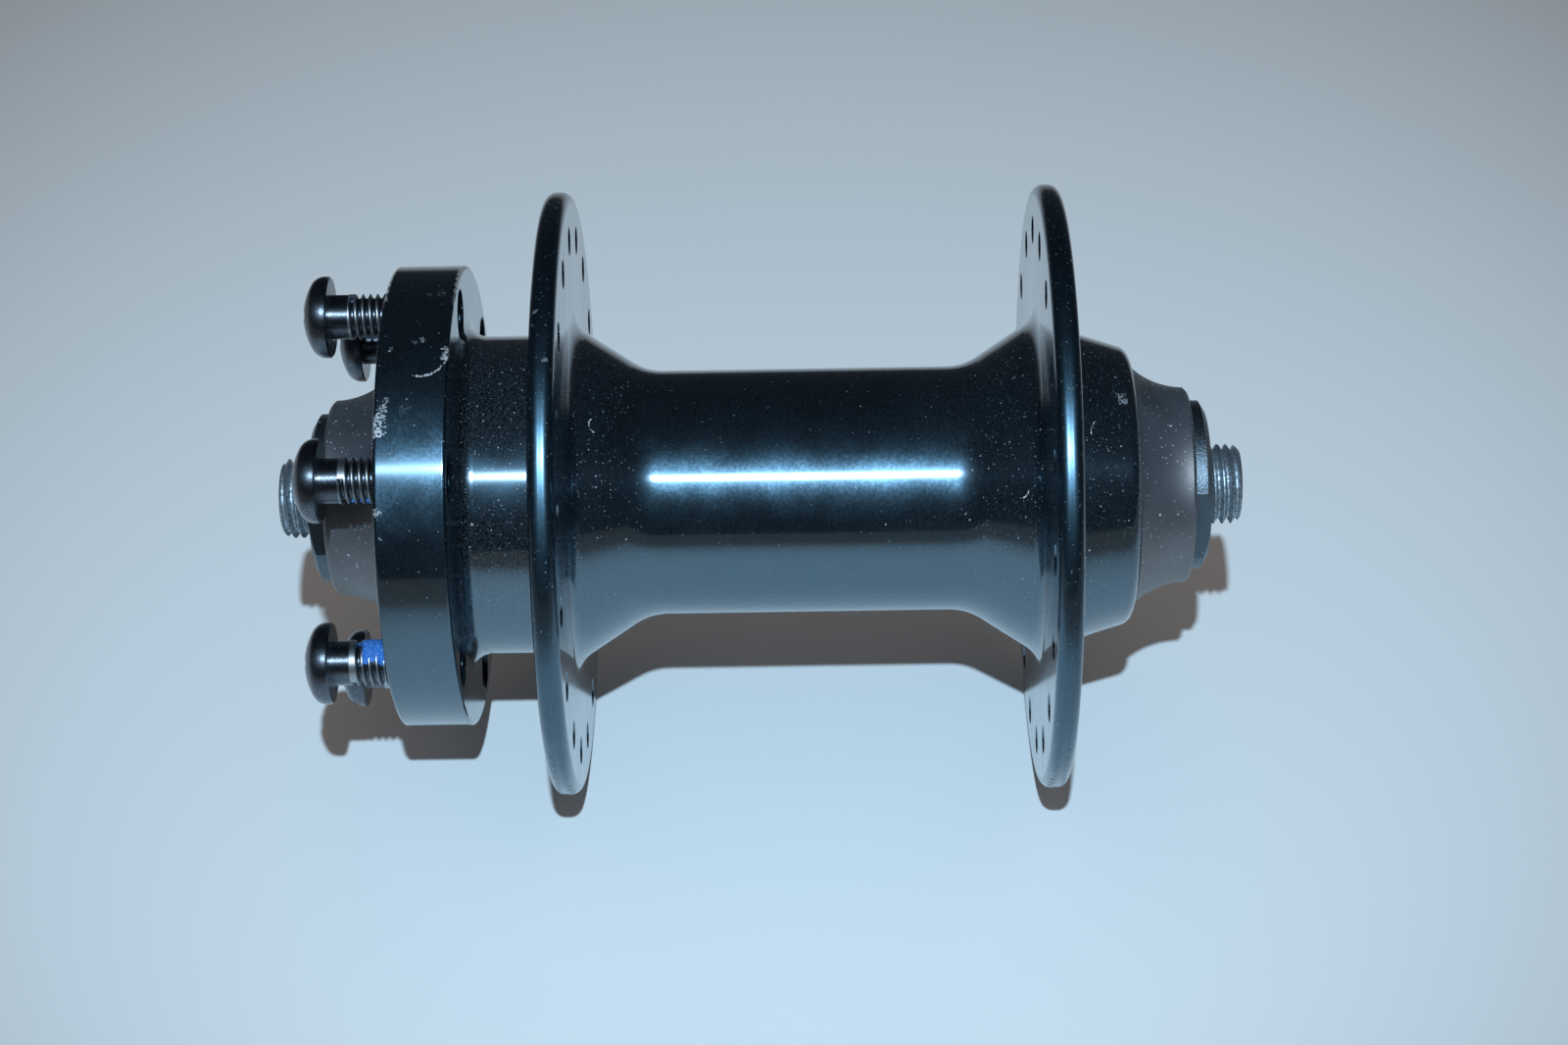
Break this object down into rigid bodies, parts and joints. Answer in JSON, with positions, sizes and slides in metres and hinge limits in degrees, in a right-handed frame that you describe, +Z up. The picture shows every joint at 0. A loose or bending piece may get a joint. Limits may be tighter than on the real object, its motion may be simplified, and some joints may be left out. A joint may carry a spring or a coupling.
{
  "type": "bicycle front hub",
  "caption": "Bicycle front hub: flanged shell with a brake rotor mount, turning on cup and cone ball bearings about a hollow quick-release axle.",
  "frame": {"origin": "middle of the axle, half way between the two faces that the fork clamps", "axes": "+Y along the axle towards the rotor mount, which is the left side of the wheel; +X forward; +Z up"},
  "size_m": [0.068, 0.108, 0.068],
  "materials": {
    "anodised_aluminium": "gloss black anodised",
    "plated_steel": "zinc plated",
    "blackened_steel": "satin black",
    "bearing_steel": "ground and polished",
    "boot_rubber": "matt, moulded",
    "seal_rubber": "matt, moulded",
    "pressed_steel": "pressed, nickel plated",
    "bolt_steel": "black oxide"
  },
  "bodies": {
    "axle_assembly": {"axle": "plated_steel", "cone_left": "bearing_steel", "cone_seal_left": "seal_rubber", "washer_left": "plated_steel", "locknut_left": "blackened_steel", "rubber_boot_left": "boot_rubber", "cone_right": "bearing_steel", "cone_seal_right": "seal_rubber", "washer_right": "plated_steel", "locknut_right": "blackened_steel", "rubber_boot_right": "boot_rubber"},
    "shell_assembly": {"hub_shell": "anodised_aluminium", "bearing_cup_left": "bearing_steel", "dust_cap_left": "pressed_steel", "bearing_cup_right": "bearing_steel", "dust_cap_right": "pressed_steel"},
    "ball_train_left": {"bearing_balls_left": "bearing_steel"},
    "ball_train_right": {"bearing_balls_right": "bearing_steel"},
    "rotor_bolt_1": {"rotor_bolt_1": "bolt_steel"},
    "rotor_bolt_2": {"rotor_bolt_2": "bolt_steel"},
    "rotor_bolt_3": {"rotor_bolt_3": "bolt_steel"},
    "rotor_bolt_4": {"rotor_bolt_4": "bolt_steel"},
    "rotor_bolt_5": {"rotor_bolt_5": "bolt_steel"},
    "rotor_bolt_6": {"rotor_bolt_6": "bolt_steel"}
  },
  "joints": [
    {"name": "shell_spin", "type": "hinge", "parent": "axle_assembly", "child": "shell_assembly", "pos_m": [0, 0, 0], "axis": [0, 1, 0], "continuous": true},
    {"name": "balls_orbit_left", "type": "hinge", "parent": "axle_assembly", "child": "ball_train_left", "pos_m": [0, 0, 0], "axis": [0, 1, 0], "continuous": true},
    {"name": "balls_orbit_right", "type": "hinge", "parent": "axle_assembly", "child": "ball_train_right", "pos_m": [0, 0, 0], "axis": [0, 1, 0], "continuous": true},
    {"name": "rotor_bolt_1_travel", "type": "slide", "parent": "shell_assembly", "child": "rotor_bolt_1", "axis": [0, -1, 0], "range_m": [-0.00365, 0.00395]},
    {"name": "rotor_bolt_2_travel", "type": "slide", "parent": "shell_assembly", "child": "rotor_bolt_2", "axis": [0, -1, 0], "range_m": [-0.0031, 0.0045]},
    {"name": "rotor_bolt_3_travel", "type": "slide", "parent": "shell_assembly", "child": "rotor_bolt_3", "axis": [0, -1, 0], "range_m": [-0.0036, 0.004]},
    {"name": "rotor_bolt_4_travel", "type": "slide", "parent": "shell_assembly", "child": "rotor_bolt_4", "axis": [0, -1, 0], "range_m": [-0.0033, 0.0043]},
    {"name": "rotor_bolt_5_travel", "type": "slide", "parent": "shell_assembly", "child": "rotor_bolt_5", "axis": [0, -1, 0], "range_m": [-0.00365, 0.00395]},
    {"name": "rotor_bolt_6_travel", "type": "slide", "parent": "shell_assembly", "child": "rotor_bolt_6", "axis": [0, -1, 0], "range_m": [-0.0031, 0.0045]}
  ],
  "couplings": [
    {"joint": "balls_orbit_left", "follows": "shell_spin", "ratio": 0.6059},
    {"joint": "balls_orbit_right", "follows": "shell_spin", "ratio": 0.6059}
  ]
}
